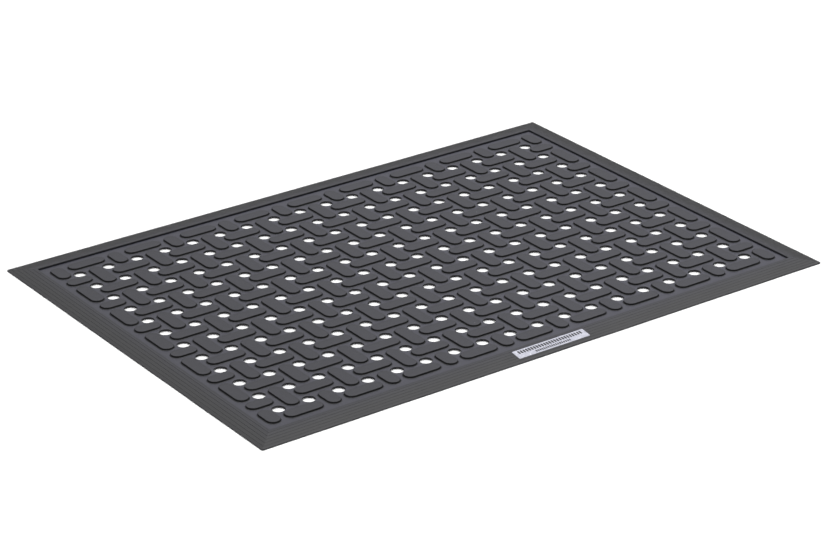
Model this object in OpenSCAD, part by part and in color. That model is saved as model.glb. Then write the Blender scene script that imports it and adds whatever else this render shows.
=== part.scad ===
// Anti-fatigue drain mat of nitrile rubber, in millimetres, +Z up.
// A perforated deck stands off the floor on grip studs and carries cushioned pads in a basket-weave
// layout. Four mitred border strips lap over the edge of the deck and slope down to the floor.
// The origin is the centre of the footprint on the floor, and X runs along the long side.

/* [Outline] */
// Length of the whole mat along X
mat_l = 850; // [840:1:900]
// Width of the whole mat along Y
mat_w = 603; // [590:1:650]
// Height of the pads and of the border's inner edge
mat_h = 6; // [6:0.1:9]
// Radius of the outer corners in plan
corner_r = 2.5; // [1:0.5:8]

/* [Drain holes and pads] */
// Drain holes along X, an even number
hole_cols = 18; // [4:2:18]
// Drain holes along Y, an even number
hole_rows = 12; // [4:2:12]
// Distance from one drain hole to the next, and from one pad to the next
pitch = 42; // [38:0.05:42.3]
// Diameter of a drain hole
hole_d = 15.9; // [10:0.1:17]

/* [Deck] */
// Gap between the floor and the underside of the deck
deck_gap = 1.2; // [0.8:0.1:1.3]
// Thickness of the backing sheet
backing_t = 1; // [0.8:0.1:1]
// Thickness of the wear sheet, and of its walls around each cushion
wear_t = 1; // [0.8:0.1:1]
// Diameter of a grip stud
stud_d = 12; // [8:0.5:14]

/* [Border] */
// Width of a border strip in plan
border_w = 29.5; // [24:0.5:30]
// Height of the border's outer lip
lip_h = 1.5; // [0.8:0.1:1.8]
// Width of the lap of a border strip over the deck
lap_w = 8; // [4:0.5:8]
// Steps across the slope of a border strip
border_steps = 6; // [3:1:7]
// Height of the riser at each step
riser_h = 0.3; // [0.1:0.05:0.4]

/* [Label panel] */
// Length of the blank label panel
label_l = 108; // [60:1:140]
// Width of the label panel along the slope
label_w = 16.5; // [10:0.5:18]
// Thickness of the label panel
label_t = 0.7; // [0.6:0.1:1]
// Depth of the panel's recess below the slope
label_sink = 0.6; // [0.3:0.05:0.6]
// Width of rubber left between the panel and the inner edge
label_rim = 5.4; // [0.8:0.1:6]

/* [Hidden] */
$fn = 48;
// Extra depth of a cut that starts outside the solid
cut_over = 1;

// Heights of the layers
backing_z = deck_gap;
wear_z = backing_z + backing_t;
deck_top = wear_z + wear_t;
cushion_h = mat_h - wear_t - wear_z;

// Half-sizes in plan
half_l = mat_l / 2;
half_w = mat_w / 2;
deck_l = mat_l - 2 * (border_w - lap_w);
deck_w = mat_w - 2 * (border_w - lap_w);

// The pads are stadium shapes, sized from the pitch. Each long pad ends a fifth of a pitch short of
// the next crossing, and a pad that would point at the border stops early, so it is a short pad.
pad_w = 0.4 * pitch;
long_pad = 1.2 * pitch;
short_pad = 0.8 * pitch;
short_shift = 0.2 * pitch;

// Last column and last row of pads, counted from the middle
last_col = hole_cols / 2;
last_row = hole_rows / 2;

// Every pad as [x, y, is lengthwise, is short], alternating like a basket weave
PADS = [
    for (col = [-last_col : last_col], row = [-last_row : last_row])
        let (
            lengthwise = (abs(col + row) % 2) == 0,
            short = lengthwise ? abs(col) == last_col : abs(row) == last_row,
            shift = short ? short_shift : 0
        )
        [
            col * pitch - (lengthwise ? sign(col) * shift : 0),
            row * pitch - (lengthwise ? 0 : sign(row) * shift),
            lengthwise,
            short
        ]
];

// Angle of the border's slope, and the length of the slope itself
slope = atan((mat_h - lip_h) / border_w);
slope_len = border_w / cos(slope);

rubber = [0.36, 0.36, 0.38];
deck_rubber = [0.38, 0.38, 0.41];
foam = [0.16, 0.16, 0.17];
silver = [0.72, 0.71, 0.78];

// ---------- shared shapes ----------

// Flat stadium shape, its length along X, shrunk all round by inset
module stadium(length, inset) {
    radius = pad_w / 2 - inset;
    reach = length / 2 - pad_w / 2;
    square([2 * reach, 2 * radius], center = true);
    for (side = [-1, 1])
        translate([side * reach, 0]) circle(r = radius);
}

// Flat outline of one pad in its place
module pad_outline(pad, inset = 0) {
    translate([pad[0], pad[1]])
        rotate(pad[2] ? 0 : 90)
            stadium(pad[3] ? short_pad : long_pad, inset);
}

// Flat outline of the deck with its drain holes
module deck_outline() {
    difference() {
        square([deck_l, deck_w], center = true);
        for (col = [0.5 - last_col : last_col - 0.5], row = [0.5 - last_row : last_row - 0.5])
            translate([col * pitch, row * pitch]) circle(d = hole_d);
    }
}

// Foam cores of one kind of pad, a separate solid in each
module cushions(lengthwise, short) {
    color(foam)
        for (pad = PADS)
            if (pad[2] == lengthwise && pad[3] == short)
                translate([0, 0, wear_z])
                    linear_extrude(cushion_h) pad_outline(pad, wear_t);
}

// Outline of the mat with rounded corners
module mat_outline() {
    square([mat_l - 2 * corner_r, mat_w], center = true);
    square([mat_l, mat_w - 2 * corner_r], center = true);
    for (sx = [-1, 1], sy = [-1, 1])
        translate([sx * (half_l - corner_r), sy * (half_w - corner_r)]) circle(r = corner_r);
}

// Section across a border strip, from the outer edge at 0 to the inner edge at border_w.
// Its inner foot is cut back under the shoulder that laps over the deck.
module border_section() {
    tread = border_w / border_steps;
    rise = (mat_h - lip_h) / border_steps;
    treads = [
        for (step = [0 : border_steps - 1])
            each [
                [step * tread, lip_h + step * rise + (step > 0 ? riser_h : 0)],
                [(step + 1) * tread, lip_h + (step + 1) * rise]
            ]
    ];
    polygon(concat(
        [[border_w - lap_w, 0], [0, 0]],
        treads,
        [[border_w, deck_top], [border_w - lap_w, deck_top]]
    ));
}

// Border strip along a side of the given length that lies at -Y, mitred at both ends
module border_strip(length, across) {
    intersection() {
        translate([-length / 2, -across / 2, 0])
            rotate([90, 0, 90])
                linear_extrude(length) border_section();
        linear_extrude(mat_h)
            polygon([
                [-length / 2, -across / 2],
                [length / 2, -across / 2],
                [length / 2 - border_w, border_w - across / 2],
                [border_w - length / 2, border_w - across / 2]
            ]);
    }
}

// Cuts a border strip to the rounded outline of the mat
module round_corners() {
    intersection() {
        children();
        linear_extrude(mat_h) mat_outline();
    }
}

// Plate of the label's outline, lying on the front slope with its underside in the recess
module label_plate(thickness) {
    translate([0, -half_w, lip_h])
        rotate([slope, 0, 0])
            translate([-label_l / 2, slope_len - label_rim - label_w, -label_sink])
                cube([label_l, label_w, thickness]);
}

// ---------- pieces ----------

module wear_sheet() {
    color(deck_rubber)
        difference() {
            union() {
                translate([0, 0, wear_z])
                    linear_extrude(wear_t) deck_outline();
                for (pad = PADS)
                    translate([0, 0, wear_z])
                        linear_extrude(mat_h - wear_z) pad_outline(pad);
            }
            for (pad = PADS)
                translate([0, 0, wear_z - cut_over])
                    linear_extrude(cushion_h + cut_over) pad_outline(pad, wear_t);
        }
}

module backing_sheet() {
    color(deck_rubber) {
        translate([0, 0, backing_z])
            linear_extrude(backing_t) deck_outline();
        for (pad = PADS)
            translate([pad[0], pad[1], 0])
                cylinder(d = stud_d, h = deck_gap + backing_t / 2);
    }
}

module lengthwise_cushions() {
    cushions(true, false);
}

module crosswise_cushions() {
    cushions(false, false);
}

module short_lengthwise_cushions() {
    cushions(true, true);
}

module short_crosswise_cushions() {
    cushions(false, true);
}

module front_border() {
    color(rubber)
        difference() {
            round_corners() border_strip(mat_l, mat_w);
            label_plate(mat_h);
        }
}

module rear_border() {
    color(rubber)
        round_corners() rotate(180) border_strip(mat_l, mat_w);
}

module left_border() {
    color(rubber)
        round_corners() rotate(-90) border_strip(mat_w, mat_l);
}

module right_border() {
    color(rubber)
        round_corners() rotate(90) border_strip(mat_w, mat_l);
}

module label_panel() {
    color(silver) label_plate(label_t);
}

// ---------- assembly ----------

wear_sheet();
backing_sheet();
lengthwise_cushions();
crosswise_cushions();
short_lengthwise_cushions();
short_crosswise_cushions();
front_border();
rear_border();
left_border();
right_border();
label_panel();
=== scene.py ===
"""Detailed meshes and finishes of a nitrile rubber drain mat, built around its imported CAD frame.

The deck is two perforated rubber sheets with foam cushions sealed between them. Four mitred border
strips lap over its edge, and a blank label panel is let into the front one. Lengths are in metres.
"""

import logging
import math
from collections.abc import Iterable, Sequence
from dataclasses import dataclass, field
from enum import Enum
from functools import cache

import bmesh
import bpy
from mathutils import Matrix, Quaternion, Vector, noise


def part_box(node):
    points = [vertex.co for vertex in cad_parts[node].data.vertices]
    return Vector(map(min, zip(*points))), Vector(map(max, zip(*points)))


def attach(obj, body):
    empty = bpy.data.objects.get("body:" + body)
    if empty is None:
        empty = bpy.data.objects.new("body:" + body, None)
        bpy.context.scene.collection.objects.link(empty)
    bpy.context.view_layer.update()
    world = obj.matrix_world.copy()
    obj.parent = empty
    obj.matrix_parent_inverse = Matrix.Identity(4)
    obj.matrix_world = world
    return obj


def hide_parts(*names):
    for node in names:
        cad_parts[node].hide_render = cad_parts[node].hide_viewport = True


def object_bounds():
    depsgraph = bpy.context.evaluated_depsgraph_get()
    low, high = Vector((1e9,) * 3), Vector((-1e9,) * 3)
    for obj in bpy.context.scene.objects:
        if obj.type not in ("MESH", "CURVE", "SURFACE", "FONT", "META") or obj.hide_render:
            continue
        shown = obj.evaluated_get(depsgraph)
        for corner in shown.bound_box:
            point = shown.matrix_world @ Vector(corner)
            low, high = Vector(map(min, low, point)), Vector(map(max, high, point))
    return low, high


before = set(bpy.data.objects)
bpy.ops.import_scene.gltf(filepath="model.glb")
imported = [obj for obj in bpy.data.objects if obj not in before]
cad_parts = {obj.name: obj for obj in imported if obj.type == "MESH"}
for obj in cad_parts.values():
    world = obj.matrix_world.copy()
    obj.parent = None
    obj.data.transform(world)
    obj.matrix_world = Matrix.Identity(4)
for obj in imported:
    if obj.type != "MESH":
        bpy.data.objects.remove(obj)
cad_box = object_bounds()

LOG = logging.getLogger("drain_mat")
MM = 0.001
BODY = "root"
WELD = 0.01 * MM
SHARP_ANGLE = math.radians(50)

Colour = tuple[float, float, float]


# ---------- shared sizes ----------


@cache
def node_box(name: str) -> tuple[Vector, Vector]:
    """Lowest and highest corner of a CAD node."""
    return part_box(name)


@dataclass(frozen=True)
class MatSizes:
    """Driving sizes of the mat. Heights and outlines are read from the boxes of the CAD nodes.

    The weave is a grid of crossings one pitch apart. A pad lies on every crossing, in turn along
    and across the mat, and a drain hole lies in the middle of every four crossings.
    """

    pitch: float = 42.0 * MM
    hole_columns: int = 18
    hole_rows: int = 12
    hole_radius: float = 7.95 * MM
    skin: float = 1.0 * MM
    corner_radius: float = 2.5 * MM
    lip_height: float = 1.5 * MM
    border_steps: int = 6
    riser: float = 0.3 * MM

    @property
    def weave(self) -> dict[str, float]:
        """The tree inputs that lay out the weave."""
        return {"Pitch": self.pitch, "Columns": self.hole_columns, "Rows": self.hole_rows}

    @property
    def pad_width(self) -> float:
        """Width of every pad."""
        return 0.4 * self.pitch

    @property
    def long_pad(self) -> float:
        """Length of a pad in the field."""
        return 1.2 * self.pitch

    @property
    def short_pad(self) -> float:
        """Length of a pad that would otherwise point into the border."""
        return 0.8 * self.pitch

    @property
    def short_shift(self) -> float:
        """Distance of a short pad's middle from its crossing, towards the mat's middle."""
        return 0.2 * self.pitch

    @property
    def height(self) -> float:
        """Height of the pads and of the border's inner edge over the floor."""
        return node_box("wear_sheet")[1].z

    @property
    def wear_bottom(self) -> float:
        """Height of the joint between the two sheets of the deck."""
        return node_box("wear_sheet")[0].z

    @property
    def deck_top(self) -> float:
        """Height of the wear sheet's face between the pads."""
        return self.wear_bottom + self.skin

    @property
    def deck_half(self) -> Vector:
        """Half the deck's length and width, with the part under the borders."""
        return node_box("wear_sheet")[1].xy

    @property
    def mat_half(self) -> Vector:
        """Half the mat's length and width."""
        return cad_box[1].xy

    @property
    def border_width(self) -> float:
        """Width of a border strip in plan."""
        low, high = node_box("left_border")
        return high.x - low.x

    @property
    def lap(self) -> float:
        """Width of the lap of a border strip over the deck."""
        return self.deck_half.x - (self.mat_half.x - self.border_width)

    @property
    def slope(self) -> float:
        """Angle of the border's slope over the floor."""
        return math.atan2(self.height - self.lip_height, self.border_width)


# ---------- outlines and meshes ----------


def rounded_line(
    corners: Sequence[tuple[float, float, float]], steps: int = 2, closed: bool = False
) -> list[Vector]:
    """Rounds the corners of a bent line.

    Args:
        corners: Each corner as (across, up, radius).
        steps: Chords in each arc.
        closed: Whether the line runs on from its last corner to its first.

    Returns:
        The line's points, with an arc in place of each corner that has a radius.
    """
    points: list[Vector] = []
    for index, (across, up, radius) in enumerate(corners):
        here = Vector((across, up))
        if radius <= 0 or (not closed and index in (0, len(corners) - 1)):
            points.append(here)
            continue
        back = (Vector(corners[index - 1][:2]) - here).normalized()
        ahead = (Vector(corners[(index + 1) % len(corners)][:2]) - here).normalized()
        half = back.angle(ahead) / 2
        centre = here + (back + ahead).normalized() * radius / math.sin(half)
        reach = radius / math.tan(half)
        first = here + back * reach - centre
        last = here + ahead * reach - centre
        turn = first.angle_signed(last)
        for step in range(steps + 1):
            arm = first.copy()
            arm.rotate(Matrix.Rotation(-turn * step / steps, 2))
            points.append(centre + arm)
    return points


def stadium_ring(length: float, width: float, grow: float, height: float, steps: int) -> list[Vector]:
    """Points of a level stadium shape that lies along X, centred on the origin in plan.

    Args:
        length: Overall length.
        width: Overall width.
        grow: How far the outline is moved outwards, or inwards if negative.
        height: Height of the points.
        steps: Chords in each round end.

    Returns:
        The points, anticlockwise from the foot of the right end.
    """
    radius = width / 2 + grow
    reach = length / 2 - width / 2
    ring: list[Vector] = []
    for side in (1, -1):
        for step in range(steps + 1):
            angle = math.pi * (step / steps - 0.5 * side)
            ring.append(Vector((side * reach + radius * math.cos(angle), radius * math.sin(angle), height)))
    return ring


def circle_ring(radius: float, height: float, steps: int) -> list[Vector]:
    """Points of a level circle round the origin, anticlockwise."""
    angles = (math.tau * step / steps for step in range(steps))
    return [Vector((radius * math.cos(angle), radius * math.sin(angle), height)) for angle in angles]


class Shell:
    """A mesh under construction, made of rings of points joined into bands."""

    def __init__(self) -> None:
        """Starts an empty mesh."""
        self.mesh = bmesh.new()

    def loft(self, rings: Iterable[Sequence[Vector]], closed: bool = True) -> list[list[bmesh.types.BMVert]]:
        """Joins rings of equal length into bands of quads.

        Args:
            rings: The rings in order. Seen from outside, each runs anticlockwise round the last.
            closed: Whether each ring runs on from its last point to its first.

        Returns:
            The rings' vertices.
        """
        made = [[self.mesh.verts.new(point) for point in ring] for ring in rings]
        for low, high in zip(made, made[1:]):
            count = len(low)
            for index in range(count if closed else count - 1):
                after = (index + 1) % count
                self.mesh.faces.new((low[index], low[after], high[after], high[index]))
        return made

    def stadium_cap(self, ring: Sequence[bmesh.types.BMVert], flip: bool = False) -> None:
        """Closes a stadium ring with quads across its ends and one along its middle."""
        half = len(ring) // 2
        for start in (0, half):
            for index in range((half - 1) // 2):
                low, high = start + index, start + half - 1 - index
                self.face((ring[low], ring[low + 1], ring[high - 1], ring[high]), flip)
        self.face((ring[0], ring[half - 1], ring[half], ring[-1]), flip)

    def face(self, corners: Sequence[bmesh.types.BMVert], flip: bool = False) -> None:
        """Adds one face, turned over if flip is true."""
        self.mesh.faces.new(tuple(reversed(corners)) if flip else tuple(corners))

    def object(self, name: str, place: Matrix | None = None) -> bpy.types.Object:
        """Ends the mesh and puts it in the scene.

        Args:
            name: Name of the object.
            place: Where the points go, if not where they were made.

        Returns:
            An object at the origin that holds the mesh.
        """
        data = bpy.data.meshes.new(name)
        self.mesh.to_mesh(data)
        self.mesh.free()
        if place is not None:
            data.transform(place)
        return place_in_scene(name, data)


def place_in_scene(name: str, data: bpy.types.ID) -> bpy.types.Object:
    """Adds an object to the scene."""
    made = bpy.data.objects.new(name, data)
    bpy.context.scene.collection.objects.link(made)
    return made


def smooth(piece: bpy.types.Object) -> None:
    """Shades a piece smooth, with its sharp edges kept sharp."""
    piece.data.shade_smooth()
    piece.data.set_sharp_from_angle(angle=SHARP_ANGLE)


def discard(*objects: bpy.types.Object) -> None:
    """Removes objects and their meshes."""
    for unwanted in objects:
        data = unwanted.data
        bpy.data.objects.remove(unwanted)
        bpy.data.meshes.remove(data)


# ---------- node trees ----------


class Signal:
    """A number in a node tree, so that its maths reads as Python."""

    def __init__(self, bench: "Bench", socket: bpy.types.NodeSocket) -> None:
        """Wraps an output socket."""
        self.bench = bench
        self.socket = socket

    def __add__(self, other: "Signal | float") -> "Signal":
        """Sum."""
        return self.bench.maths("ADD", self, other)

    __radd__ = __add__

    def __sub__(self, other: "Signal | float") -> "Signal":
        """Difference."""
        return self.bench.maths("SUBTRACT", self, other)

    def __rsub__(self, other: float) -> "Signal":
        """Difference from a plain number."""
        return self.bench.maths("SUBTRACT", other, self)

    def __mul__(self, other: "Signal | float") -> "Signal":
        """Product."""
        return self.bench.maths("MULTIPLY", self, other)

    __rmul__ = __mul__

    def __truediv__(self, other: "Signal | float") -> "Signal":
        """Quotient."""
        return self.bench.maths("DIVIDE", self, other)

    def __mod__(self, other: "Signal | float") -> "Signal":
        """Remainder."""
        return self.bench.maths("MODULO", self, other)

    def __abs__(self) -> "Signal":
        """Size without sign."""
        return self.bench.maths("ABSOLUTE", self)

    def __lt__(self, other: "Signal | float") -> "Signal":
        """1 where this is less, else 0."""
        return self.bench.maths("LESS_THAN", self, other)

    def __gt__(self, other: "Signal | float") -> "Signal":
        """1 where this is more, else 0."""
        return self.bench.maths("GREATER_THAN", self, other)

    def near(self, other: "Signal | float", within: float) -> "Signal":
        """1 where this is within a distance of other, else 0."""
        return self.bench.maths("COMPARE", self, other, within)

    def rounded(self) -> "Signal":
        """Nearest whole number."""
        return self.bench.maths("ROUND", self)

    def ramp(self, low: float, high: float) -> "Signal":
        """A smooth rise from 0 at low to 1 at high."""
        settings = {"interpolation_type": "SMOOTHSTEP"}
        inputs = {"Value": self, "From Min": low, "From Max": high}
        return self.bench.number("ShaderNodeMapRange", settings, inputs)


class Bench:
    """Builds one node tree, a material's or a Geometry Nodes modifier's."""

    def __init__(self, tree: bpy.types.NodeTree) -> None:
        """Takes an empty tree."""
        self.tree = tree

    def node(self, kind: str, settings: dict | None = None, inputs: dict | None = None) -> bpy.types.Node:
        """Adds a node.

        Args:
            kind: The node's type.
            settings: Its own settings, such as an operation, set before its sockets.
            inputs: Values or links for its sockets, by name or number. A list joins several links.

        Returns:
            The node.
        """
        made = self.tree.nodes.new(kind)
        for name, value in (settings or {}).items():
            setattr(made, name, value)
        for key, value in (inputs or {}).items():
            for one in value if isinstance(value, list) else [value]:
                self.feed(made.inputs[key], one)
        return made

    def feed(self, socket: bpy.types.NodeSocket, value: object) -> None:
        """Links a socket to a signal or another socket, or sets its value."""
        if isinstance(value, Signal):
            value = value.socket
        if isinstance(value, bpy.types.NodeSocket):
            self.tree.links.new(value, socket)
        else:
            socket.default_value = value

    def number(
        self, kind: str, settings: dict | None = None, inputs: dict | None = None, output: int | str = 0
    ) -> Signal:
        """Adds a node and gives one of its outputs as a signal."""
        return Signal(self, self.node(kind, settings, inputs).outputs[output])

    def maths(self, operation: str, *values: Signal | float) -> Signal:
        """Adds a Math node."""
        return self.number("ShaderNodeMath", {"operation": operation}, dict(enumerate(values)))


class GeometryBench(Bench):
    """Builds the tree of a Geometry Nodes modifier with named inputs."""

    def __init__(self, name: str, inputs: dict[str, str]) -> None:
        """Starts a tree.

        Args:
            name: Name of the tree.
            inputs: Each input's name and socket type, besides the geometry.
        """
        super().__init__(bpy.data.node_groups.new(name, "GeometryNodeTree"))
        face = self.tree.interface
        face.new_socket("Geometry", in_out="INPUT", socket_type="NodeSocketGeometry")
        for label, kind in inputs.items():
            face.new_socket(label, in_out="INPUT", socket_type=kind)
        face.new_socket("Geometry", in_out="OUTPUT", socket_type="NodeSocketGeometry")
        self.entry = self.node("NodeGroupInput")

    def input(self, name: str) -> Signal:
        """One of the tree's named inputs."""
        return Signal(self, self.entry.outputs[name])

    def geometry(
        self, kind: str, settings: dict | None = None, inputs: dict | None = None
    ) -> bpy.types.NodeSocket:
        """Adds a node and gives its first output, a geometry."""
        return self.node(kind, settings, inputs).outputs[0]

    def place(self) -> tuple[Signal, Signal, Signal]:
        """The position of each element, as three numbers."""
        position = self.node("GeometryNodeInputPosition").outputs[0]
        parts = self.node("ShaderNodeSeparateXYZ", {}, {"Vector": position})
        return tuple(Signal(self, parts.outputs[axis]) for axis in "XYZ")

    def vector(
        self, x: Signal | float = 0.0, y: Signal | float = 0.0, z: Signal | float = 0.0
    ) -> bpy.types.NodeSocket:
        """Three numbers as a vector."""
        return self.node("ShaderNodeCombineXYZ", {}, {"X": x, "Y": y, "Z": z}).outputs[0]

    def finish(self, made: bpy.types.NodeSocket) -> bpy.types.NodeTree:
        """Ends the tree in real meshes with a material."""
        real = self.geometry("GeometryNodeRealizeInstances", {}, {"Geometry": made})
        finish = {"Geometry": real, "Material": self.input("Finish")}
        dressed = self.geometry("GeometryNodeSetMaterial", {}, finish)
        self.node("NodeGroupOutput", {}, {"Geometry": dressed})
        return self.tree


@dataclass
class WeavePoints:
    """The crossings of a weave, and what the tree knows of each."""

    points: bpy.types.NodeSocket
    lengthwise: Signal
    at_end: Signal
    turn: bpy.types.NodeSocket


WEAVE_INPUTS = {"Pitch": "NodeSocketFloat", "Columns": "NodeSocketInt", "Rows": "NodeSocketInt"}


def grid(bench: GeometryBench, columns: Signal, rows: Signal, pitch: Signal) -> bpy.types.NodeSocket:
    """A grid of points one pitch apart, centred on the origin."""
    sizes = {
        "Size X": (columns - 1) * pitch,
        "Size Y": (rows - 1) * pitch,
        "Vertices X": columns,
        "Vertices Y": rows,
    }
    return bench.geometry("GeometryNodeMeshGrid", {}, sizes)


def weave_points(bench: GeometryBench) -> WeavePoints:
    """Lays out the crossings of a weave from the inputs Pitch, Columns and Rows.

    Args:
        bench: The tree under construction.

    Returns:
        The grid of crossings. A pad on each is lengthwise or crosswise in turn. It is at an end
        where it points at the border, and its turn brings +X to the pad's outer end.
    """
    pitch, columns, rows = (bench.input(name) for name in ("Pitch", "Columns", "Rows"))
    x, y, _ = bench.place()
    column = (x / pitch).rounded()
    row = (y / pitch).rounded()
    crosswise = abs(column + row) % 2
    lengthwise = 1 - crosswise
    last_column = abs(column) > columns / 2 - 0.5
    last_row = abs(row) > rows / 2 - 0.5
    along = (column < 0) * math.pi
    across = math.pi / 2 - (row < 0) * math.pi
    return WeavePoints(
        points=grid(bench, columns + 1, rows + 1, pitch),
        lengthwise=lengthwise,
        at_end=lengthwise * last_column + crosswise * last_row,
        turn=bench.vector(z=lengthwise * along + crosswise * across),
    )


def stamp(
    bench: GeometryBench,
    points: bpy.types.NodeSocket,
    shape: str,
    chosen: Signal | None = None,
    turn: bpy.types.NodeSocket | None = None,
) -> bpy.types.NodeSocket:
    """Puts a copy of the object in the named input on each chosen point."""
    source = bench.node("GeometryNodeObjectInfo", {}, {"Object": bench.input(shape)})
    inputs = {"Points": points, "Instance": source.outputs["Geometry"]}
    if chosen is not None:
        inputs["Selection"] = chosen
    if turn is not None:
        inputs["Rotation"] = turn
    return bench.geometry("GeometryNodeInstanceOnPoints", {}, inputs)


def perforated_sheet_tree() -> bpy.types.NodeTree:
    """Tree of a flat sheet with drain holes and a moulded feature on every crossing of the weave.

    The modified mesh is the sheet's outer edge. The hole and the features are open shells whose
    rims lie in the sheet's two faces, and the tree fills each face between all the rims in it.
    """
    inputs = WEAVE_INPUTS | {
        "Top": "NodeSocketFloat",
        "Bottom": "NodeSocketFloat",
        "Weld": "NodeSocketFloat",
        "Hole": "NodeSocketObject",
        "Long Feature": "NodeSocketObject",
        "Short Feature": "NodeSocketObject",
        "Finish": "NodeSocketMaterial",
    }
    bench = GeometryBench("perforated_sheet", inputs)
    pitch, columns, rows = (bench.input(name) for name in ("Pitch", "Columns", "Rows"))
    weave = weave_points(bench)
    features = stamp(bench, weave.points, "Long Feature", 1 - weave.at_end, weave.turn)
    short_features = stamp(bench, weave.points, "Short Feature", weave.at_end, weave.turn)
    holes = stamp(bench, grid(bench, columns, rows, pitch), "Hole")
    parts = [bench.entry.outputs["Geometry"], features, short_features, holes]
    joined = bench.geometry("GeometryNodeJoinGeometry", {}, {"Geometry": parts})
    shells = bench.geometry("GeometryNodeRealizeInstances", {}, {"Geometry": joined})

    open_edge = bench.number("GeometryNodeInputMeshEdgeNeighbors").near(1, 0.5)
    height = bench.place()[2]
    faces = [shells]
    for level in ("Top", "Bottom"):
        level_z = bench.input(level)
        rims = {"Mesh": shells, "Selection": open_edge * height.near(level_z, bench.input("Weld"))}
        curves = bench.geometry("GeometryNodeMeshToCurve", {}, rims)
        filled = bench.geometry("GeometryNodeFillCurve", {"mode": "TRIANGLES"}, {"Curve": curves})
        lift = {"Geometry": filled, "Offset": bench.vector(z=level_z)}
        face = bench.geometry("GeometryNodeSetPosition", {}, lift)
        if level == "Bottom":
            face = bench.geometry("GeometryNodeFlipFaces", {}, {"Mesh": face})
        faces.append(face)
    whole = bench.geometry("GeometryNodeJoinGeometry", {}, {"Geometry": faces})
    merge = {"Geometry": whole, "Distance": bench.input("Weld")}
    return bench.finish(bench.geometry("GeometryNodeMergeByDistance", {}, merge))


def weave_field_tree() -> bpy.types.NodeTree:
    """Tree of separate pieces, one on each crossing of the chosen lay, for cushions."""
    inputs = WEAVE_INPUTS | {
        "Lengthwise": "NodeSocketFloat",
        "Crosswise": "NodeSocketFloat",
        "Field": "NodeSocketFloat",
        "Ends": "NodeSocketFloat",
        "Piece": "NodeSocketObject",
        "Finish": "NodeSocketMaterial",
    }
    bench = GeometryBench("weave_field", inputs)
    weave = weave_points(bench)
    lay = weave.lengthwise * bench.input("Lengthwise") + (1 - weave.lengthwise) * bench.input("Crosswise")
    place = weave.at_end * bench.input("Ends") + (1 - weave.at_end) * bench.input("Field")
    return bench.finish(stamp(bench, weave.points, "Piece", lay * place, weave.turn))


def row_tree() -> bpy.types.NodeTree:
    """Tree of equal pieces in a row along X, centred on the origin."""
    inputs = {
        "Count": "NodeSocketInt",
        "Pitch": "NodeSocketFloat",
        "Piece": "NodeSocketObject",
        "Finish": "NodeSocketMaterial",
    }
    bench = GeometryBench("row", inputs)
    count, pitch = bench.input("Count"), bench.input("Pitch")
    line = {
        "Count": count,
        "Start Location": bench.vector((1 - count) * pitch * 0.5),
        "Offset": bench.vector(pitch),
    }
    return bench.finish(stamp(bench, bench.geometry("GeometryNodeMeshLine", {}, line), "Piece"))


def grow(
    name: str, seed: bpy.types.Object, tree: bpy.types.NodeTree, inputs: dict[str, object]
) -> bpy.types.Object:
    """Runs a Geometry Nodes tree on an object and keeps the result as a plain mesh.

    Args:
        name: Name of the finished piece.
        seed: The object that carries the modifier. It is removed afterwards.
        tree: The tree.
        inputs: Values of the tree's named inputs.

    Returns:
        The finished piece, at the origin.
    """
    modifier = seed.modifiers.new(tree.name, "NODES")
    modifier.node_group = tree
    sockets = {item.name: item.identifier for item in tree.interface.items_tree if item.in_out == "INPUT"}
    for label, value in inputs.items():
        modifier[sockets[label]] = value
    graph = bpy.context.evaluated_depsgraph_get()
    data = bpy.data.meshes.new_from_object(seed.evaluated_get(graph), depsgraph=graph)
    data.name = name
    seed.modifiers.remove(modifier)
    discard(seed)
    data.materials.clear()
    data.materials.append(inputs["Finish"])
    piece = place_in_scene(name, data)
    smooth(piece)
    return piece


# ---------- finishes ----------


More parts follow.
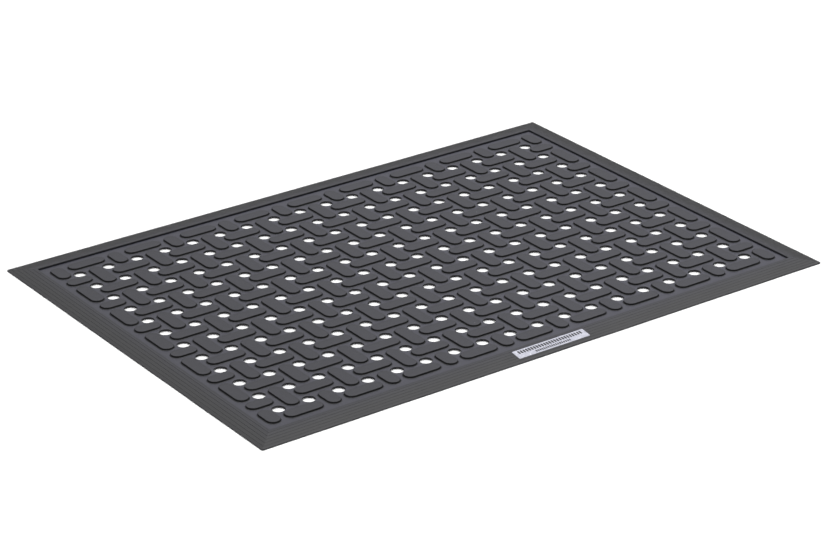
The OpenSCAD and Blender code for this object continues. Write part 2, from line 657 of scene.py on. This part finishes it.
class FinishBench(Bench):
    """Builds a material round a Principled shader, on Object coordinates."""

    def __init__(self, name: str, constants: dict[str, object]) -> None:
        """Starts a material.

        Args:
            name: Name of the material.
            constants: Shader sockets that are the same all over.
        """
        self.material = bpy.data.materials.new(name)
        self.material.use_nodes = True
        super().__init__(self.material.node_tree)
        self.tree.nodes.clear()
        surface = self.node("ShaderNodeTexCoord")
        self.coordinates = surface.outputs["Object"]
        self.normal = surface.outputs["Normal"]
        self.shader = self.node("ShaderNodeBsdfPrincipled", {}, constants)
        self.node("ShaderNodeOutputMaterial", {}, {"Surface": self.shader.outputs[0]})

    def noise(self, size: float, detail: float = 2.0, distortion: float = 0.0) -> Signal:
        """Cloudy noise from 0 to 1 with features of about a given size."""
        inputs = {"Vector": self.coordinates, "Scale": 1 / size, "Detail": detail, "Distortion": distortion}
        return self.number("ShaderNodeTexNoise", {}, inputs)

    def specks(self, spacing: float, radius: float, share: float) -> Signal:
        """Scattered round specks.

        Args:
            spacing: Size of the cells that may hold one speck each.
            radius: Radius of a speck.
            share: Share of the cells that hold one.

        Returns:
            1 in a speck and 0 outside.
        """
        cells = self.node("ShaderNodeTexVoronoi", {}, {"Vector": self.coordinates, "Scale": 1 / spacing})
        chance = self.number("ShaderNodeSeparateColor", {}, {"Color": cells.outputs["Color"]})
        inside = 1 - Signal(self, cells.outputs["Distance"]).ramp(0.5 * radius / spacing, radius / spacing)
        return inside * (chance < share)

    def parts(self, vector: bpy.types.NodeSocket) -> tuple[Signal, Signal, Signal]:
        """The three numbers of a vector."""
        split = self.node("ShaderNodeSeparateXYZ", {}, {"Vector": vector})
        return tuple(Signal(self, split.outputs[axis]) for axis in "XYZ")

    def knurl(self, size: float) -> Signal:
        """A fine diamond pattern from 0 to 1, its diamonds a given size along X and Y."""
        x, y, _ = self.parts(self.coordinates)
        rising = self.maths("SINE", (x + y) * (math.tau / size))
        falling = self.maths("SINE", (x - y) * (math.tau / size))
        return rising * falling * 0.5 + 0.5

    def flatness(self, steep: float, flat: float) -> Signal:
        """1 on level faces, 0 on steep ones, by how upright the surface's normal is."""
        return abs(self.parts(self.normal)[2]).ramp(steep, flat)

    def mix(self, share: Signal | float, first: object, second: object) -> bpy.types.NodeSocket:
        """Blend of two colours, the second at share 1."""
        factor, colour_a, colour_b = 0, 6, 7
        inputs = {factor: share, colour_a: first, colour_b: second}
        return self.node("ShaderNodeMix", {"data_type": "RGBA"}, inputs).outputs[2]

    def bump(self, height: Signal, depth: float) -> bpy.types.NodeSocket:
        """Surface normal of a relief of a given depth."""
        return self.node("ShaderNodeBump", {}, {"Height": height, "Distance": depth}).outputs[0]

    def paint(
        self, colour: bpy.types.NodeSocket, roughness: Signal, normal: bpy.types.NodeSocket
    ) -> bpy.types.Material:
        """Feeds the shader and gives the finished material."""
        for name, value in (("Base Color", colour), ("Roughness", roughness), ("Normal", normal)):
            self.feed(self.shader.inputs[name], value)
        return self.material


def opaque(colour: Colour, gain: float = 1.0) -> tuple[float, float, float, float]:
    """A colour with full alpha, made brighter or darker by a gain."""
    return (*(channel * gain for channel in colour), 1.0)


@dataclass(frozen=True)
class RubberFinish:
    """Matt nitrile rubber, with painted shade on its steep faces and a painted light gradient along X.

    Faces that are walked on have a fine knurl and grain, and take on colour. Both begin at grain_from
    and are full at grain_to, heights over the floor; below, the rubber is smoother and has low_colour.
    Steep faces keep only a share of the colour, as painted shade on the walls. The colour is also painted
    lighter along X over the span, by a given share, as a painted light gradient.
    """

    name: str
    colour: Colour = (0.0357, 0.0357, 0.0438)
    low_colour: Colour = (0.0475, 0.0475, 0.0625)
    dust_colour: Colour = (0.30, 0.30, 0.34)
    painted_shade_gain: float = 0.12
    roughness: float = 0.62
    low_roughness: float = 0.5
    specular: float = 0.4
    grain_from: float = 3.6 * MM
    grain_to: float = 5.4 * MM
    grain_size: float = 0.8 * MM
    grain_depth: float = 0.05 * MM
    knurl_size: float = 4.6 * MM
    knurl_tone: float = 0.55
    mottle_size: float = 2.2 * MM
    mottle: float = 0.30
    cloud_size: float = 70 * MM
    cloud: float = 0.20
    painted_light_gradient: float = 0.22
    painted_light_span: tuple[float, float] = (-430 * MM, 120 * MM)
    dust: float = 0.006

    def material(self) -> bpy.types.Material:
        """Builds the finish."""
        bench = FinishBench(self.name, {"Specular IOR Level": self.specular})
        along, _, height = bench.parts(bench.coordinates)
        grained = height.ramp(self.grain_from, self.grain_to)
        # painted light gradient: the tone is lighter towards +X, as light that falls off to the left
        painted_light_gradient = (along.ramp(*self.painted_light_span) - 0.7) * self.painted_light_gradient
        grain = bench.noise(self.grain_size, detail=3.0)
        knurl = bench.knurl(self.knurl_size) - 0.5
        mottle = bench.noise(self.mottle_size) - 0.5
        cloud = bench.noise(self.cloud_size, detail=3.0) - 0.5
        fine = (mottle * self.mottle + knurl * self.knurl_tone) * (grained * 0.7 + 0.3)
        tone = fine + cloud * self.cloud + painted_light_gradient + 0.5
        low = bench.mix(tone, opaque(self.low_colour, 0.5), opaque(self.low_colour, 1.5))
        high = bench.mix(tone, opaque(self.colour, 0.5), opaque(self.colour, 1.5))
        level_colour_with_light_gradient = bench.mix(grained, low, high)
        # painted shade: steep faces keep only a share of the colour, so walls are darker than level faces
        rubber = bench.mix(bench.flatness(0.84, 0.988), opaque(self.colour, self.painted_shade_gain), level_colour_with_light_gradient)
        specks = bench.specks(6 * MM, 0.6 * MM, self.dust) * grained
        colour = bench.mix(specks, rubber, opaque(self.dust_colour))
        rough = self.low_roughness + grained * (self.roughness - self.low_roughness)
        roughness = rough + cloud * 0.12 + (grain - 0.5) * 0.1
        relief = (grain + knurl) * (grained * 0.8 + 0.2)
        return bench.paint(colour, roughness, bench.bump(relief, self.grain_depth))


@dataclass(frozen=True)
class FoamFinish:
    """Closed-cell nitrile foam: dark, dull and pitted by its cut cells."""

    name: str
    colour: Colour = (0.022, 0.022, 0.024)
    wall_colour: Colour = (0.05, 0.05, 0.054)
    cell: float = 0.9 * MM
    depth: float = 0.15 * MM

    def material(self) -> bpy.types.Material:
        """Builds the finish."""
        bench = FinishBench(self.name, {"Specular IOR Level": 0.3})
        inputs = {"Vector": bench.coordinates, "Scale": 1 / self.cell}
        cells = bench.number("ShaderNodeTexVoronoi", {}, inputs)
        wall = cells.ramp(0.25, 0.7)
        # painted shade: the pits of the cut cells are painted darker than the cell walls
        colour = bench.mix(wall, opaque(self.colour), opaque(self.wall_colour))
        return bench.paint(colour, 0.95 - wall * 0.1, bench.bump(wall, self.depth))


@dataclass(frozen=True)
class FilmFinish:
    """Satin metallised film with a fine cross grain and faint scuffs."""

    name: str
    colour: Colour = (0.40, 0.405, 0.47)
    scuff_colour: Colour = (0.62, 0.62, 0.68)
    grain: float = 0.5 * MM
    metallic: float = 0.35

    def material(self) -> bpy.types.Material:
        """Builds the finish."""
        bench = FinishBench(self.name, {"Metallic": self.metallic})
        scuffs = bench.noise(4 * MM, detail=4.0, distortion=1.5).ramp(0.45, 0.8)
        grain = bench.noise(self.grain, detail=2.0)
        colour = bench.mix(scuffs, opaque(self.colour), opaque(self.scuff_colour))
        return bench.paint(colour, 0.42 + grain * 0.2, bench.bump(grain, 0.03 * MM))


@dataclass(frozen=True)
class FloorFinish:
    """Plain pale studio floor."""

    name: str = "studio_floor"
    colour: Colour = (0.86, 0.86, 0.86)

    def material(self) -> bpy.types.Material:
        """Builds the finish."""
        bench = FinishBench(self.name, {"Specular IOR Level": 0.0})
        tone = bench.noise(0.8, detail=1.0)
        colour = bench.mix(tone, opaque(self.colour, 0.99), opaque(self.colour))
        return bench.paint(colour, 0.9 + tone * 0.05, bench.bump(tone, 0.01 * MM))


@dataclass
class Finishes:
    """Every finish of the mat, made once."""

    deck: bpy.types.Material = field(default_factory=RubberFinish("deck_rubber").material)
    backing: bpy.types.Material = field(
        default_factory=RubberFinish(
            # painted shade: the backing's steep faces keep 0.6 of its colour
            "backing_rubber", grain_from=-1 * MM, grain_to=-0.5 * MM, painted_shade_gain=0.6, dust=0.0
        ).material
    )
    border: bpy.types.Material = field(
        default_factory=RubberFinish(
            "border_rubber",
            grain_from=3.0 * MM,
            grain_to=7.0 * MM,
            colour=(0.0355, 0.0355, 0.0440),
            low_colour=(0.0197, 0.0197, 0.0216),
            # painted shade: the border's steep faces keep 0.45 of its colour
            painted_shade_gain=0.45,
        ).material
    )
    foam: bpy.types.Material = field(default_factory=FoamFinish("cushion_foam").material)
    film: bpy.types.Material = field(default_factory=FilmFinish("label_film").material)


# ---------- sub-assemblies ----------


def fit(piece: bpy.types.Object, slot: str, *nodes: str) -> bpy.types.Object:
    """Puts a finished piece on the mat in place of its CAD nodes, and reports it.

    Args:
        piece: The finished piece, at the origin.
        slot: Name of the piece's material slot; not used.
        nodes: The CAD nodes that it stands for.

    Returns:
        The piece.
    """
    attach(piece, BODY)
    if nodes:
        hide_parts(*nodes)
    stands_for = ", ".join(nodes) or "itself"
    LOG.info("%s: %d faces, stands for %s", piece.name, len(piece.data.polygons), stands_for)
    return piece


def sheet_edge(name: str, half: Vector, bottom: float, top: float) -> bpy.types.Object:
    """The outer edge of a rectangular sheet, as a band open at its two faces."""
    shell = Shell()
    corners = ((-1, -1), (1, -1), (1, 1), (-1, 1))
    shell.loft([Vector((sx * half.x, sy * half.y, z)) for sx, sy in corners] for z in (bottom, top))
    return shell.object(name)


@dataclass
class Deck:
    """The two perforated sheets that are bonded into the mat's deck.

    Radii and reaches are those of the moulded rubber: pads with a flared foot, a steep wall and a
    rounded top edge.
    """

    sizes: MatSizes
    finishes: Finishes
    end_steps: int = 7
    hole_steps: int = 28
    collar: float = 1.5 * MM
    pad_collar: float = 2.8 * MM
    foot_reach: float = 2.0 * MM
    foot_height: float = 0.6 * MM
    foot_radius: float = 0.8 * MM
    draft: float = 0.3 * MM
    crown_reach: float = 0.4 * MM
    edge_radius: float = 0.5 * MM
    rim_radius: float = 0.5 * MM
    flat_inset: float = 2.2 * MM
    pocket_play: float = 0.03 * MM
    stud_radius: float = 6.0 * MM
    stud_steps: int = 16
    stud_edge: float = 0.3 * MM
    stud_dimple: float = 0.35 * MM
    stud_ring: float = 0.7
    stud_dish: float = 0.45

    def pad_shell(self, name: str, length: float, shift: float) -> bpy.types.Object:
        """A hollow pad: its outside above the sheet's top face and its pocket above the lower face.

        Args:
            name: Name of the shape.
            length: Length of the pad.
            shift: Distance of the pad's middle from its crossing.

        Returns:
            Two open shells in one object.
        """
        sizes = self.sizes
        rise = sizes.height - sizes.deck_top
        profile = rounded_line(
            [
                (self.pad_collar, 0, 0),
                (self.foot_reach, 0, self.foot_radius),
                (self.crown_reach + self.draft, self.foot_height, self.draft),
                (self.crown_reach, rise, self.edge_radius),
                (-self.flat_inset, rise, 0),
            ]
        )
        outline = (length, sizes.pad_width)
        shell = Shell()
        top = shell.loft(
            stadium_ring(*outline, point.x, sizes.deck_top + point.y, self.end_steps) for point in profile
        )
        shell.stadium_cap(top[-1])
        pocket = [(sizes.wear_bottom, 0.0), (sizes.height - sizes.skin, -self.pocket_play)]
        inside = shell.loft(
            list(reversed(stadium_ring(*outline, inset - sizes.skin, z, self.end_steps)))
            for z, inset in pocket
        )
        shell.stadium_cap(inside[-1])
        return shell.object(name, Matrix.Translation((-shift, 0, 0)))

    def hole_shell(self, name: str, bottom: float, top: float, rims: Sequence[float]) -> bpy.types.Object:
        """The wall of a drain hole through one sheet.

        Args:
            name: Name of the shape.
            bottom: Height of the sheet's lower face.
            top: Height of its upper face.
            rims: Radii of the rounded edges at the lower and upper face.

        Returns:
            An open shell with a rim in each face.
        """
        radius = self.sizes.hole_radius
        low_rim, high_rim = rims
        corners = [
            (radius + self.collar, bottom, 0),
            (radius, bottom, low_rim),
            (radius, top, high_rim),
            (radius + self.collar, top, 0),
        ]
        profile = rounded_line(corners)
        if low_rim <= 0:
            profile = profile[1:]
        if high_rim <= 0:
            profile = profile[:-1]
        shell = Shell()
        shell.loft(list(reversed(circle_ring(point.x, point.y, self.hole_steps))) for point in profile)
        return shell.object(name)

    def stud_shell(self, name: str, shift: float) -> bpy.types.Object:
        """A grip stud under the backing sheet, slightly dished so that it holds on a smooth floor."""
        bottom = node_box("backing_sheet")[0].z
        face = self.sizes.wear_bottom - self.sizes.skin
        profile = rounded_line(
            [
                (self.stud_radius + self.collar, face, 0),
                (self.stud_radius, face, self.stud_edge),
                (self.stud_radius, bottom, self.stud_edge),
                (self.stud_ring * self.stud_radius, bottom, 0),
            ]
        )
        profile.append(Vector((self.stud_dish * self.stud_radius, bottom + self.stud_dimple)))
        shell = Shell()
        rings = shell.loft(
            list(reversed(circle_ring(point.x, point.y, self.stud_steps))) for point in profile
        )
        shell.face(rings[-1])
        return shell.object(name, Matrix.Translation((-shift, 0, 0)))

    def sheet(
        self,
        name: str,
        bottom: float,
        top: float,
        shapes: Sequence[bpy.types.Object],
        finish: bpy.types.Material,
    ) -> bpy.types.Object:
        """Grows one sheet from its edge, its hole and its two features."""
        sizes = self.sizes
        hole, long_feature, short_feature = shapes
        inputs = sizes.weave | {
            "Top": top,
            "Bottom": bottom,
            "Weld": WELD,
            "Hole": hole,
            "Long Feature": long_feature,
            "Short Feature": short_feature,
            "Finish": finish,
        }
        edge = sheet_edge(name + "_edge", sizes.deck_half, bottom, top)
        piece = grow(name, edge, perforated_sheet_tree(), inputs)
        discard(*shapes)
        return piece

    def wear_sheet(self) -> bpy.types.Object:
        """The walked-on sheet with its hollow pads."""
        sizes = self.sizes
        shapes = (
            self.hole_shell("wear_hole", sizes.wear_bottom, sizes.deck_top, (0, self.rim_radius)),
            self.pad_shell("long_pad", sizes.long_pad, 0.0),
            self.pad_shell("short_pad", sizes.short_pad, sizes.short_shift),
        )
        return self.sheet("deck_wear_sheet", sizes.wear_bottom, sizes.deck_top, shapes, self.finishes.deck)

    def backing_sheet(self) -> bpy.types.Object:
        """The sheet below, with its grip studs."""
        sizes = self.sizes
        bottom = sizes.wear_bottom - sizes.skin
        shapes = (
            self.hole_shell("backing_hole", bottom, sizes.wear_bottom, (self.rim_radius, 0)),
            self.stud_shell("stud", 0.0),
            self.stud_shell("end_stud", sizes.short_shift),
        )
        return self.sheet("deck_backing_sheet", bottom, sizes.wear_bottom, shapes, self.finishes.backing)

    def build(self) -> None:
        """Builds both sheets and fits them."""
        fit(self.wear_sheet(), "deck_rubber", "wear_sheet")
        fit(self.backing_sheet(), "backing_rubber", "backing_sheet")


class CushionKind(Enum):
    """The four kinds of foam cushion: the CAD node, whether it is lengthwise, whether it is short."""

    LENGTHWISE = ("lengthwise_cushions", True, False)
    CROSSWISE = ("crosswise_cushions", False, False)
    SHORT_LENGTHWISE = ("short_lengthwise_cushions", True, True)
    SHORT_CROSSWISE = ("short_crosswise_cushions", False, True)


@dataclass
class Cushions:
    """The foam cushions sealed in the pads."""

    sizes: MatSizes
    finishes: Finishes
    end_steps: int = 7
    play: float = 0.1 * MM
    edge_radius: float = 0.5 * MM
    crown_inset: float = 3.0 * MM
    crown_drop: float = 0.15 * MM
    fill: float = 0.9

    def cushion(self, name: str, length: float, shift: float) -> bpy.types.Object:
        """One crowned foam cushion with softened edges."""
        sizes = self.sizes
        inset = -(sizes.skin + self.play)
        low, high = sizes.wear_bottom, sizes.height - sizes.skin - self.play
        profile = rounded_line(
            [
                (inset - 2 * self.edge_radius, low, 0),
                (inset, low, self.edge_radius),
                (inset, high - self.crown_drop, self.edge_radius),
                (inset - self.crown_inset, high, 0),
            ],
            steps=1,
        )
        shell = Shell()
        rings = shell.loft(
            stadium_ring(length, sizes.pad_width, point.x, point.y, self.end_steps) for point in profile
        )
        shell.stadium_cap(rings[0], flip=True)
        shell.stadium_cap(rings[-1])
        return shell.object(name, Matrix.Translation((-shift, 0, 0)))

    def build(self) -> None:
        """Builds the four groups of cushions and fits them."""
        sizes = self.sizes
        tree = weave_field_tree()
        for kind in CushionKind:
            node, lengthwise, short = kind.value
            length, shift = (sizes.short_pad, sizes.short_shift) if short else (sizes.long_pad, 0.0)
            shape = self.cushion(node + "_shape", length, shift)
            inputs = sizes.weave | {
                "Lengthwise": float(lengthwise),
                "Crosswise": float(not lengthwise),
                "Field": float(not short),
                "Ends": float(short),
                "Piece": shape,
                "Finish": self.finishes.foam,
            }
            name = "foam_" + node.removesuffix("_cushions")
            piece = grow(name, Shell().object(node + "_seed"), tree, inputs)
            discard(shape)
            fit(piece, "cushion_foam", node)


class Side(Enum):
    """The sides of the mat, each with the turn in degrees that brings the front strip to it."""

    FRONT = 0
    RIGHT = 90
    REAR = 180
    LEFT = 270


@dataclass
class Border:
    """The four mitred strips that slope from the deck down to the floor."""

    sizes: MatSizes
    finishes: Finishes
    arc_steps: int = 4
    station_gap: float = 6.0 * MM
    foot_radius: float = 0.25 * MM
    lip_radius: float = 0.5 * MM
    step_radius: float = 0.12 * MM
    riser_lean: float = 0.15 * MM
    crest_radius: float = 0.7 * MM
    wave: float = 0.3 * MM
    wave_length: float = 70 * MM
    wave_reach: float = 9.0 * MM

    def section(self) -> list[Vector]:
        """Closed section across a strip: distance from the outer edge, and height."""
        sizes = self.sizes
        tread = sizes.border_width / sizes.border_steps
        rise = (sizes.height - sizes.lip_height) / sizes.border_steps
        corners = [
            (sizes.border_width, sizes.deck_top, 0),
            (sizes.border_width, sizes.height, self.crest_radius),
        ]
        for step in reversed(range(1, sizes.border_steps)):
            foot = sizes.lip_height + step * rise
            corners.append((step * tread, foot + sizes.riser, self.step_radius))
            corners.append((step * tread - self.riser_lean, foot, self.step_radius))
        corners += [
            (0, sizes.lip_height, self.lip_radius),
            (0, 0, self.foot_radius),
            (sizes.border_width - sizes.lap, 0, 0),
            (sizes.border_width - sizes.lap, sizes.deck_top, 0),
        ]
        return rounded_line(corners, closed=True)

    def plan_line(self, depth: float, length: float, across: float) -> list[Vector]:
        """Points along a front strip at one depth from its outer edge, from mitre to mitre.

        Args:
            depth: Distance from the outer edge.
            length: Length of the side.
            across: Distance to the opposite side of the mat.

        Returns:
            Plan points, with the mat's corner radius rounding the ends of the outer lines.
        """
        corner = self.sizes.corner_radius
        left: list[Vector] = []
        for step in range(self.arc_steps + 1):
            share = step / self.arc_steps
            if depth < corner:
                angle = math.radians(45) * (1 + share)
                arm = corner - depth
                left.append(Vector((corner - arm * math.cos(angle), corner - arm * math.sin(angle))))
            else:
                left.append(Vector((depth + share * corner, depth)))
        start = left[-1].x
        stations = int(length / self.station_gap)
        run = length - 2 * start
        middle = [Vector((start + run * station / stations, depth)) for station in range(1, stations)]
        right = [Vector((length - point.x, point.y)) for point in reversed(left)]
        shift = Vector((-length / 2, -across / 2))
        return [point + shift for point in left + middle + right]

    def ripple(self, point: Vector, depth: float, length: float, seed: float) -> Vector:
        """A plan point with the gentle wave of the trimmed edge, which dies out up the slope."""
        near_edge = max(0.0, 1 - depth / self.wave_reach)
        near_end = min(1.0, (length / 2 - abs(point.x)) / self.wave_length)
        sway = noise.noise(Vector((point.x / self.wave_length, seed, 0))) * self.wave
        return Vector((point.x, point.y + sway * near_edge * max(0.0, near_end)))

    def strip(self, side: Side) -> bpy.types.Object:
        """One border strip in its place."""
        half = self.sizes.mat_half
        length, across = (2 * half.x, 2 * half.y)
        if side in (Side.LEFT, Side.RIGHT):
            length, across = across, length
        section = self.section()
        lines = []
        for point in section:
            rippled = [
                self.ripple(spot, point.x, length, side.value)
                for spot in self.plan_line(point.x, length, across)
            ]
            lines.append([Vector((spot.x, spot.y, point.y)) for spot in rippled])
        shell = Shell()
        rings = shell.loft(zip(*lines))
        shell.face(rings[0], flip=True)
        shell.face(rings[-1])
        bmesh.ops.recalc_face_normals(shell.mesh, faces=shell.mesh.faces)
        turn = Matrix.Rotation(math.radians(side.value), 4, "Z")
        piece = shell.object("border_" + side.name.lower(), turn)
        piece.data.materials.append(self.finishes.border)
        return piece

    def build(self, cutter: bpy.types.Object) -> None:
        """Builds the strips, lets the label's recess into the front one and fits them all.

        Args:
            cutter: A solid of the label's outline, to be cut out of the front strip.
        """
        for side in Side:
            piece = self.strip(side)
            if side is Side.FRONT:
                piece = cut(piece, cutter)
            smooth(piece)
            fit(piece, "border_rubber", side.name.lower() + "_border")
        discard(cutter)


def cut(piece: bpy.types.Object, cutter: bpy.types.Object) -> bpy.types.Object:
    """Cuts one solid out of another.

    Args:
        piece: The solid that is cut. It is replaced.
        cutter: The solid that is taken away. It stays.

    Returns:
        A new object of the same name, with no modifier.
    """
    modifier = piece.modifiers.new("recess", "BOOLEAN")
    modifier.operation = "DIFFERENCE"
    modifier.solver = "EXACT"
    modifier.object = cutter
    graph = bpy.context.evaluated_depsgraph_get()
    data = bpy.data.meshes.new_from_object(piece.evaluated_get(graph), depsgraph=graph)
    name = piece.name
    piece.modifiers.remove(modifier)
    discard(piece)
    return place_in_scene(name, data)


@dataclass(frozen=True)
class BarRow:
    """A row of equal upright bars, shift up the slope from the panel's middle."""

    name: str
    count: int
    pitch: float
    height: float
    width: float
    shift: float


@dataclass
class Label:
    """The blank panel let into the front border, with two rows of raised upright bars on it."""

    sizes: MatSizes
    finishes: Finishes
    length: float = 108 * MM
    width: float = 16.5 * MM
    thickness: float = 0.7 * MM
    sink: float = 0.6 * MM
    rim: float = 5.4 * MM
    corner_radius: float = 1.2 * MM
    edge_radius: float = 0.2 * MM
    recess_play: float = 0.15 * MM
    bar_rise: float = 0.15 * MM
    bar_root: float = 0.1 * MM
    bar_chamfer: float = 0.1 * MM
    bar_rows: tuple[BarRow, ...] = (
        BarRow("upper", count=25, pitch=3.9 * MM, height=6.4 * MM, width=2.5 * MM, shift=2.9 * MM),
        BarRow("lower", count=18, pitch=3.0 * MM, height=4.2 * MM, width=1.9 * MM, shift=-4.0 * MM),
    )

    @property
    def place(self) -> Matrix:
        """Brings the panel's own plane onto the slope, its middle at the panel's middle."""
        slope_length = self.sizes.border_width / math.cos(self.sizes.slope)
        middle = slope_length - self.rim - self.width / 2
        edge = Matrix.Translation((0, -self.sizes.mat_half.y, self.sizes.lip_height))
        lean = Matrix.Rotation(self.sizes.slope, 4, "X")
        return edge @ lean @ Matrix.Translation((0, middle, -self.sink))

    def plate_ring(self, grow_by: float, height: float) -> list[Vector]:
        """One level ring of the panel's rounded rectangle, moved outwards by grow_by."""
        radius = self.corner_radius
        half_x, half_y = self.length / 2 - radius, self.width / 2 - radius
        steps = 4
        ring: list[Vector] = []
        for quarter, (sx, sy) in enumerate(((1, 1), (-1, 1), (-1, -1), (1, -1))):
            for step in range(steps + 1):
                angle = math.pi / 2 * (quarter + step / steps)
                arm = radius + grow_by
                across = sx * half_x + arm * math.cos(angle)
                ring.append(Vector((across, sy * half_y + arm * math.sin(angle), height)))
        return ring

    def plate(self, name: str, profile: Sequence[Vector]) -> bpy.types.Object:
        """A closed plate of the panel's outline with the given edge profile."""
        shell = Shell()
        rings = shell.loft(self.plate_ring(point.x, point.y) for point in profile)
        shell.face(rings[0], flip=True)
        shell.face(rings[-1])
        return shell.object(name, self.place)

    def cutter(self) -> bpy.types.Object:
        """A solid that cuts the panel's recess."""
        return self.plate("label_cutter", [Vector((self.recess_play, z)) for z in (0, self.sizes.height)])

    def bars(self, row: BarRow) -> bpy.types.Object:
        """One row of raised bars on the panel's face."""
        profile = [(0, -self.bar_root), (0, 0.6 * self.bar_rise), (-self.bar_chamfer, self.bar_rise)]
        shell = Shell()
        rings = shell.loft(stadium_ring(row.height, row.width, inset, z, 3) for inset, z in profile)
        shell.stadium_cap(rings[0], flip=True)
        shell.stadium_cap(rings[-1])
        shape = shell.object("bar", Matrix.Rotation(math.pi / 2, 4, "Z"))
        inputs = {"Count": row.count, "Pitch": row.pitch, "Piece": shape, "Finish": self.finishes.border}
        piece = grow(f"label_{row.name}_bars", Shell().object("bar_seed"), row_tree(), inputs)
        discard(shape)
        piece.data.transform(self.place @ Matrix.Translation((0, row.shift, self.thickness)))
        return piece

    def build(self) -> None:
        """Builds the panel and its bars and fits them."""
        edge = self.edge_radius
        profile = rounded_line([(0, 0, 0), (0, self.thickness, edge), (-3 * edge, self.thickness, 0)])
        panel = self.plate("label_plate", profile)
        panel.data.materials.append(self.finishes.film)
        smooth(panel)
        fit(panel, "label_film", "label_panel")
        for row in self.bar_rows:
            fit(self.bars(row), "border_rubber")


# ---------- studio ----------


@dataclass
class Studio:
    """A pale floor, soft light from above and behind, and the camera."""

    azimuth: float = -35.278
    elevation: float = 24.832
    roll: float = -0.567
    distance: float = 3.6865
    aim: Vector = field(default_factory=lambda: Vector((-18.19, -21.78, 2.2)) * MM)
    lens: float = 126.8
    floor_size: float = 30.0
    key_azimuth: float = -50.0
    key_elevation: float = 80.0
    key_strength: float = 3.85
    fill_strength: float = 0.18
    box_place: Vector = field(default_factory=lambda: Vector((2.2, 0.3, 1.8)))
    box_size: float = 1.6
    box_power: float = 3.0

    def floor(self) -> None:
        """The floor, a little under the mat's feet."""
        shell = Shell()
        reach = self.floor_size / 2
        corners = ((-reach, -reach), (reach, -reach), (reach, reach), (-reach, reach))
        shell.face([shell.mesh.verts.new((x, y, -0.02 * MM)) for x, y in corners])
        floor = shell.object("floor")
        floor.data.materials.append(FloorFinish().material())

    def sky(self) -> None:
        """A wide soft light overhead that fades to a dim horizon, with a fill from below."""
        world = bpy.data.worlds.new("studio")
        world.use_nodes = True
        world.node_tree.nodes.clear()
        bench = Bench(world.node_tree)
        azimuth, elevation = math.radians(self.key_azimuth), math.radians(self.key_elevation)
        level = math.cos(elevation)
        key = Vector((-math.sin(azimuth) * level, math.cos(azimuth) * level, math.sin(elevation)))
        outward = bench.node("ShaderNodeTexCoord").outputs["Generated"]
        product = {"operation": "DOT_PRODUCT"}
        towards_key = bench.number("ShaderNodeVectorMath", product, {0: outward, 1: key}, "Value")
        downward = bench.number("ShaderNodeVectorMath", product, {0: outward, 1: (0, 0, -1)}, "Value")
        rise = self.key_strength - self.fill_strength
        strength = towards_key.ramp(0.5, 1.0) * rise + downward.ramp(0.0, 0.5) + self.fill_strength
        background = bench.node("ShaderNodeBackground", {}, {"Strength": strength})
        bench.node("ShaderNodeOutputWorld", {}, {"Surface": background.outputs[0]})
        bpy.context.scene.world = world
        bpy.context.scene.view_settings.view_transform = "Standard"

    def softbox(self) -> None:
        """A weak softbox on the right, aimed at the mat."""
        data = bpy.data.lights.new("softbox", "AREA")
        data.size = self.box_size
        data.energy = self.box_power
        lamp = place_in_scene("softbox", data)
        lamp.location = self.box_place
        lamp.rotation_mode = "QUATERNION"
        lamp.rotation_quaternion = self.box_place.to_track_quat("Z", "Y")

    def camera(self) -> None:
        """The camera, turned to its aim with a slight roll."""
        azimuth, elevation = math.radians(self.azimuth), math.radians(self.elevation)
        level = math.cos(elevation)
        back = Vector((math.sin(azimuth) * level, -math.cos(azimuth) * level, math.sin(elevation)))
        data = bpy.data.cameras.new("camera")
        data.lens = self.lens
        data.clip_end = 100.0
        camera = place_in_scene("camera", data)
        camera.location = self.aim + back * self.distance
        camera.rotation_mode = "QUATERNION"
        roll = Quaternion((0, 0, 1), math.radians(self.roll))
        camera.rotation_quaternion = (-back).to_track_quat("-Z", "Y") @ roll
        bpy.context.scene.camera = camera

    def build(self) -> None:
        """Sets up the studio."""
        self.floor()
        self.sky()
        self.softbox()
        self.camera()


def main() -> None:
    """Builds the mat in order and sets up the studio."""
    logging.basicConfig(level=logging.INFO, format="%(name)s: %(message)s")
    sizes = MatSizes()
    finishes = Finishes()
    Studio().build()
    label = Label(sizes, finishes)
    Deck(sizes, finishes).build()
    Cushions(sizes, finishes).build()
    Border(sizes, finishes).build(label.cutter())
    label.build()


if __name__ == "__main__":
    main()
